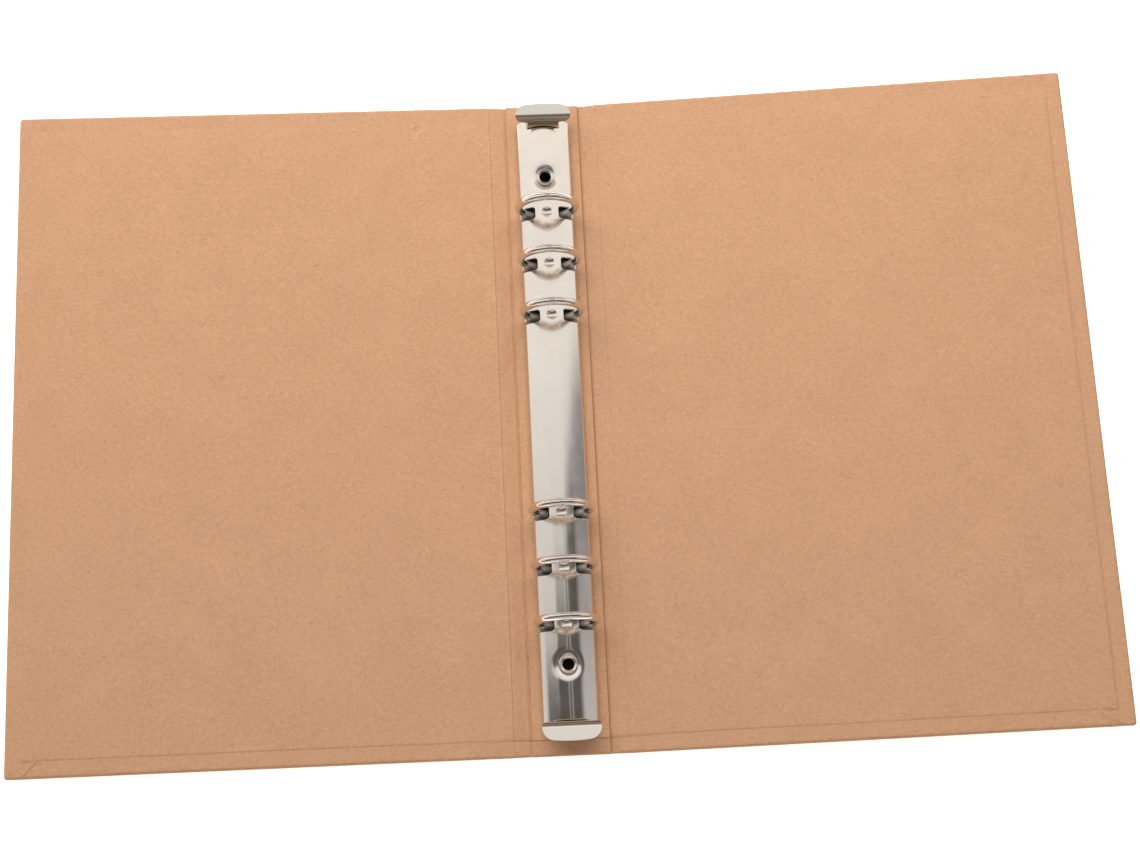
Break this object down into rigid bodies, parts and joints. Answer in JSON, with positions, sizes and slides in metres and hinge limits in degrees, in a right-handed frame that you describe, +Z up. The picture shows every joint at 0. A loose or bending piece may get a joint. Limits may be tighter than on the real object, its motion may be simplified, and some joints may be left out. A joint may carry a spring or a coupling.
{
  "type": "ring binder",
  "caption": "Open kraft-board ring binder: two hinged covers, a spine, and an arched plated ring mechanism with wire rings and end levers riveted to the spine.",
  "frame": {"origin": "middle of the outer face (back) of the spine", "axes": "+X across the open covers to the right, +Y along the spine towards the head, +Z up from the back of the spine to the rings"},
  "size_m": [0.3693, 0.232, 0.0242],
  "materials": {
    "kraft_paper": "matte",
    "grey_board": "matte",
    "plated_steel": "polished",
    "spring_steel": "satin"
  },
  "bodies": {
    "spine": {"spine_board": "grey_board", "spine_paper": "kraft_paper", "spine_liner": "kraft_paper", "left_joint_paper": "kraft_paper", "left_joint_liner": "kraft_paper", "right_joint_paper": "kraft_paper", "right_joint_liner": "kraft_paper", "ring_plate": "plated_steel", "spine_rivets": "plated_steel", "lever_pins": "spring_steel"},
    "left_cover": {"left_board": "grey_board", "left_cover_paper": "kraft_paper", "left_liner": "kraft_paper"},
    "right_cover": {"right_board": "grey_board", "right_cover_paper": "kraft_paper", "right_liner": "kraft_paper"},
    "left_carrier": {"left_carrier": "spring_steel", "left_ring_1": "plated_steel", "left_ring_2": "plated_steel", "left_ring_3": "plated_steel", "left_ring_4": "plated_steel", "left_ring_5": "plated_steel", "left_ring_6": "plated_steel"},
    "right_carrier": {"right_carrier": "spring_steel", "right_ring_1": "plated_steel", "right_ring_2": "plated_steel", "right_ring_3": "plated_steel", "right_ring_4": "plated_steel", "right_ring_5": "plated_steel", "right_ring_6": "plated_steel"},
    "head_lever": {"head_lever": "plated_steel"},
    "tail_lever": {"tail_lever": "plated_steel"}
  },
  "joints": [
    {"name": "left_cover_hinge", "type": "hinge", "parent": "spine", "child": "left_cover", "pos_m": [-0.0162, 0, 0.00096], "axis": [0, 1, 0], "range_deg": [-0.94, 89.06], "deforming": ["left_joint_paper", "left_joint_liner"]},
    {"name": "right_cover_hinge", "type": "hinge", "parent": "spine", "child": "right_cover", "pos_m": [0.0162, 0, 0.00096], "axis": [0, -1, 0], "range_deg": [-5.4, 84.6], "deforming": ["right_joint_paper", "right_joint_liner"]},
    {"name": "left_carrier_rock", "type": "hinge", "parent": "spine", "child": "left_carrier", "pos_m": [-0.00815, 0, 0.0037], "axis": [0, -1, 0], "range_deg": [0, 18]},
    {"name": "right_carrier_rock", "type": "hinge", "parent": "spine", "child": "right_carrier", "pos_m": [0.00815, 0, 0.0037], "axis": [0, 1, 0], "range_deg": [0, 18]},
    {"name": "head_lever_pivot", "type": "hinge", "parent": "spine", "child": "head_lever", "pos_m": [0, 0.1046, 0.004], "axis": [-1, 0, 0], "range_deg": [0, 24.3]},
    {"name": "tail_lever_pivot", "type": "hinge", "parent": "spine", "child": "tail_lever", "pos_m": [0, -0.1046, 0.004], "axis": [1, 0, 0], "range_deg": [0, 24.3]}
  ],
  "couplings": [
    {"joint": "right_carrier_rock", "follows": "left_carrier_rock", "ratio": 1},
    {"joint": "head_lever_pivot", "follows": "left_carrier_rock", "ratio": 1.35},
    {"joint": "tail_lever_pivot", "follows": "left_carrier_rock", "ratio": 1.35}
  ]
}
